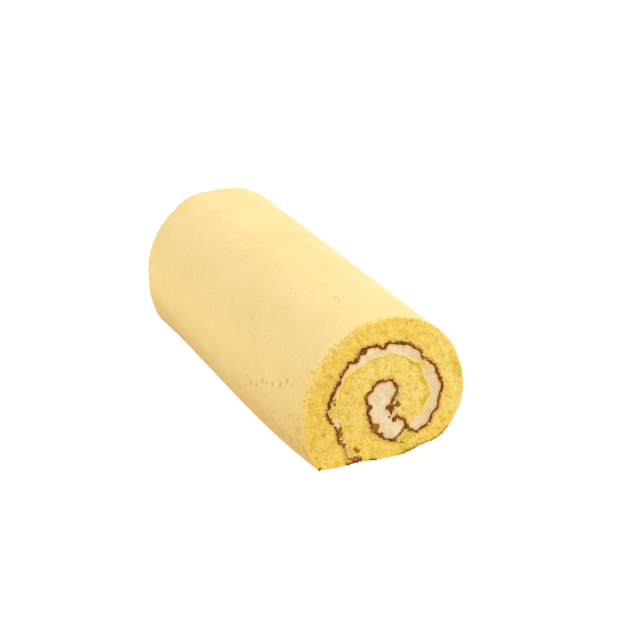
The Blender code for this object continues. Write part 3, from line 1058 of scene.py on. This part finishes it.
# %% [markdown]
# ## Bits of crust, crumb and cream
# Larger bits broke off the crust and lie where the knife left them: at the nose, in the core
# and along the seam. Where cream softened them they are amber. A curved line of small bits, with
# heaps of crumb behind it, ends the core's cream at its lower right, and dabs of cream lie among
# the bits. Each is a small heap of lumps. The heaps are points with a note of their tone, and a
# second tree puts the lumps on them. Both cuts get the same, apart from one bit at the corner.
# %% Places of the heaps
# x, z and width in mm, and how amber the bit is. Bits of crumb have no such tone.
CRUST_HEAPS = (
    (-4.5, 17.0, 4.4, 0.9), (-7.0, 28.2, 2.4, 0.1), (-1.4, 12.8, 2.6, 0.2), (2.2, 26.4, 2.6, 0.2),
    (4.2, 25.6, 2.8, 0.0), (7.4, 27.2, 3.0, 0.8), (5.2, 30.0, 1.8, 0.1), (6.6, 36.2, 2.4, 0.6),
    (5.5, 19.4, 2.8, 0.0), (2.8, 21.2, 1.6, 0.6), (12.5, 13.8, 2.0, 0.2), (4.6, 9.0, 1.2, 0.2),
    (5.5, 9.5, 1.2, 0.4), (6.4, 9.9, 1.2, 0.5), (7.3, 10.4, 1.2, 0.6), (8.2, 11.1, 1.2, 0.5),
    (9.0, 11.9, 1.2, 0.4), (9.8, 12.8, 1.2, 0.5), (10.5, 13.7, 1.2, 0.3), (11.2, 14.6, 1.2, 0.1),
    (-28.2, 31.6, 0.6, 0.5), (-27.0, 30.6, 0.6, 0.8), (-28.0, 29.4, 0.6, 0.4), (-10.6, 57.4, 3.4, 0.1),
    (-14.8, 53.2, 3.2, 0.1), (-23.4, 43.6, 2.6, 0.1), (-26.4, 35.6, 2.4, 0.3), (-26.2, 33.0, 2.2, 0.7),
    (-28.2, 26.0, 2.4, 0.3), (-27.0, 23.4, 1.6, 0.4), (-23.6, 19.6, 3.2, 0.4), (-22.9, 16.8, 2.8, 0.5),
    (-22.0, 13.4, 2.2, 0.7), (-21.2, 11.2, 1.6, 0.8), (-15.1, 8.4, 2.0, 1.0), (-13.8, 6.6, 2.6, 1.0),
    (-15.0, 3.0, 2.8, 0.9), (-13.2, 3.4, 2.6, 1.0), (-15.6, 1.6, 2.0, 0.1), (-13.9, 1.8, 2.2, 0.1),
    (-12.2, 1.8, 2.0, 0.1), (-6.6, 1.1, 1.0, 0.1), (-5.3, 0.8, 1.0, 0.1), (-4.0, 0.5, 1.0, 0.1),
)
CORNER_CRUMB = ((-33.4, 1.2, 1.8, 0.9),)
CRUMB_HEAPS = (
    (20.6, 46.4, 3.0), (22.2, 45.2, 3.2), (23.4, 43.8, 2.2), (-25.4, 30.4, 2.6), (-27.4, 30.2, 2.6),
    (11.4, 9.8, 3.4), (8.4, 8.6, 2.6), (10.3, 8.2, 2.4), (10.2, 10.8, 2.2), (12.0, 12.6, 2.2),
    (12.8, 10.8, 2.2), (11.6, 7.9, 2.2), (9.4, 9.6, 2.0),
)
CREAM_DABS = (
    (-24.9, 24.4, 3.0, 0.2), (-24.5, 22.2, 2.6, 0.3), (-26.2, 35.8, 1.6, 0.7), (-26.8, 32.2, 1.6, 0.7),
    (-20.8, 12.8, 1.6, 0.6), (-19.4, 10.2, 1.6, 0.5), (8.2, 30.2, 2.6, 0.8), (5.6, 28.2, 1.4, 0.6),
    (5.4, 22.4, 2.4, 0.6),
)
print("heaps on each cut:", len(CRUST_HEAPS) + len(CRUMB_HEAPS) + len(CREAM_DABS))

# %% Heaps of crust and crumb, and dabs of cream
HEAP_INPUTS = {"Smallest": 0.35 * MM, "Largest": 0.7 * MM, "Seed": 2.0, "Material": None}
HEAP_DEPTH, HEAP_THICKNESS = 0.05 * MM, 0.3 * MM  # the lumps' middles lie this far behind the cut
LUMPS = 3.6  # in a heap a millimetre wide, and in others this many times the width squared
CROWDED = 0.7  # 0.5 would spread the lumps evenly over the heap
# how far from a heap's middle a lump can be: a share of the width less some, and at least, in mm
REACH_SHARE, REACH_LESS, LEAST_REACH = 0.6, 0.4, 0.2
LOWEST = 0.3  # mm above the table

placed, given = new_tree("placed heaps", HEAP_INPUTS)
with_lumps(placed, add(placed, "GeometryNodeMeshToPoints", {"Mesh": given["Geometry"]}), given)


def heaps(name, places, inputs, notes=(), cuts=((front_y, 1), (back_y, -1))):
    """A piece made of small heaps of lumps at these places on the cuts, with constant notes."""
    draw = random.Random(len(places))
    corners, amber = [], []
    for x, z, width, *tone in places:
        for y, into in cuts:
            for _ in range(math.ceil(LUMPS * width**2)):
                turn = draw.uniform(0, math.tau)
                reach = draw.random() ** CROWDED * max(LEAST_REACH, REACH_SHARE * width - REACH_LESS)
                deep = HEAP_DEPTH + draw.uniform(0, HEAP_THICKNESS)
                aside = (x + reach * math.cos(turn)) * MM
                above = max(LOWEST, z + reach * math.sin(turn)) * MM
                corners.append((aside, y + into * deep, above))
                amber += tone or [0.0]
    source = bpy.data.objects.new("places", bpy.data.meshes.new("places"))
    source.data.from_pydata(corners, [], [])
    constant = {title: [value] * len(corners) for title, value in dict(notes).items()}
    for title, values in {"amber": amber, **constant}.items():
        note = source.data.attributes.new(title, "FLOAT", "POINT")
        note.data.foreach_set("value", values)
    bpy.context.scene.collection.objects.link(source)
    piece = scattered(name, source, placed, inputs)
    bpy.data.objects.remove(source)
    return piece


crust_heaps = heaps("crust_heaps", CRUST_HEAPS, {"Material": crust})
corner_crumb = heaps("corner_crumb", CORNER_CRUMB, {"Material": crust}, cuts=((front_y, 1),))
far = {title: FAR for title in PLACES}
crumb_heaps = heaps("crumb_heaps", CRUMB_HEAPS, {"Material": crumb}, far)
dabs = {"Smallest": 0.5 * MM, "Largest": 0.9 * MM, "Material": cream}
cream_dabs = heaps("cream_dabs", CREAM_DABS, dabs, {**far, "loose": 1.0})

# %% [markdown]
# ## Floor, light and camera
# The roll stands on a softly lit white table in a white room, so shadows are faint. One large
# soft light from the front right and above makes the top brighter than the left flank. A long
# lens looks at it from the front left and above.
# %% Floor and room
FLOOR_REACH = 4  # metres to each side
FLOOR_GAP = 0.05 * MM  # under the roll, so that the two don't lie in one plane

scene = bpy.context.scene
scene.view_settings.view_transform = "Standard"

form = bmesh.new()
bmesh.ops.create_grid(form, x_segments=1, y_segments=1, size=FLOOR_REACH)
bmesh.ops.translate(form, verts=form.verts, vec=(0, 0, -FLOOR_GAP))
mesh = bpy.data.meshes.new("floor")
form.to_mesh(mesh)
form.free()
floor = bpy.data.objects.new("floor", mesh)
scene.collection.objects.link(floor)
paper, tree, _ = new_finish("lit white table", (), {})
# a grey that glows is as white as paper, and the roll's shadow on it is faint
shader = {
    "Base Color": linear("#6C6C6C"),
    "Roughness": 0.9,
    "Specular IOR Level": 0.1,
    "Emission Color": (1, 1, 1, 1),
    "Emission Strength": 0.92,
}
shader = add(tree, "ShaderNodeBsdfPrincipled", shader)
add(tree, "ShaderNodeOutputMaterial", {"Surface": shader})
mesh.materials.append(paper)

world = bpy.data.worlds.new("soft white room")
scene.world = world
world.use_nodes = True
background = world.node_tree.nodes["Background"]
background.inputs["Color"].default_value = (1, 1, 1, 1)
background.inputs["Strength"].default_value = 0.88
print("stage:", floor.name, "of", paper.name, "in a", world.name)

# %% Light and camera


def light(name, place, size, power):
    """A square soft light that looks at the roll."""
    lamp = bpy.data.lights.new(name, "AREA")
    lamp.size = size
    lamp.energy = power
    holder = bpy.data.objects.new(name, lamp)
    holder.location = place
    holder.rotation_euler = Vector(place).to_track_quat("Z", "Y").to_euler()
    scene.collection.objects.link(holder)


light("key", place=(0.9, -0.7, 1.3), size=1.2, power=10)

AIM = Vector((-22, -72.5, 66.5)) * MM
AZIMUTH, ELEVATION = math.radians(-25.1), math.radians(22.3)
DISTANCE = 1.515  # metres

level = math.cos(ELEVATION)
back = Vector((math.sin(AZIMUTH) * level, -math.cos(AZIMUTH) * level, math.sin(ELEVATION)))
lens = bpy.data.cameras.new("camera")
lens.lens = 180
camera = bpy.data.objects.new("camera", lens)
camera.location = AIM + DISTANCE * back
camera.rotation_euler = back.to_track_quat("Z", "Y").to_euler()
scene.collection.objects.link(camera)
scene.camera = camera
print("camera at:", [round(c, 3) for c in camera.location])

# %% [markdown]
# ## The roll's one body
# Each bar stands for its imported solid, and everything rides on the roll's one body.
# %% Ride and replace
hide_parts("sponge_sheet")
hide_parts("cream_wrap")
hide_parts("cream_core")
loose = (crumbs, crust_flakes, dragged_crumbs, crust_heaps, corner_crumb, crumb_heaps)
for piece in (sponge, squeezed_seam, *loose):
    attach(piece, "root")
for piece in (cream_layer, cream_centre, cream_dabs):
    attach(piece, "root")
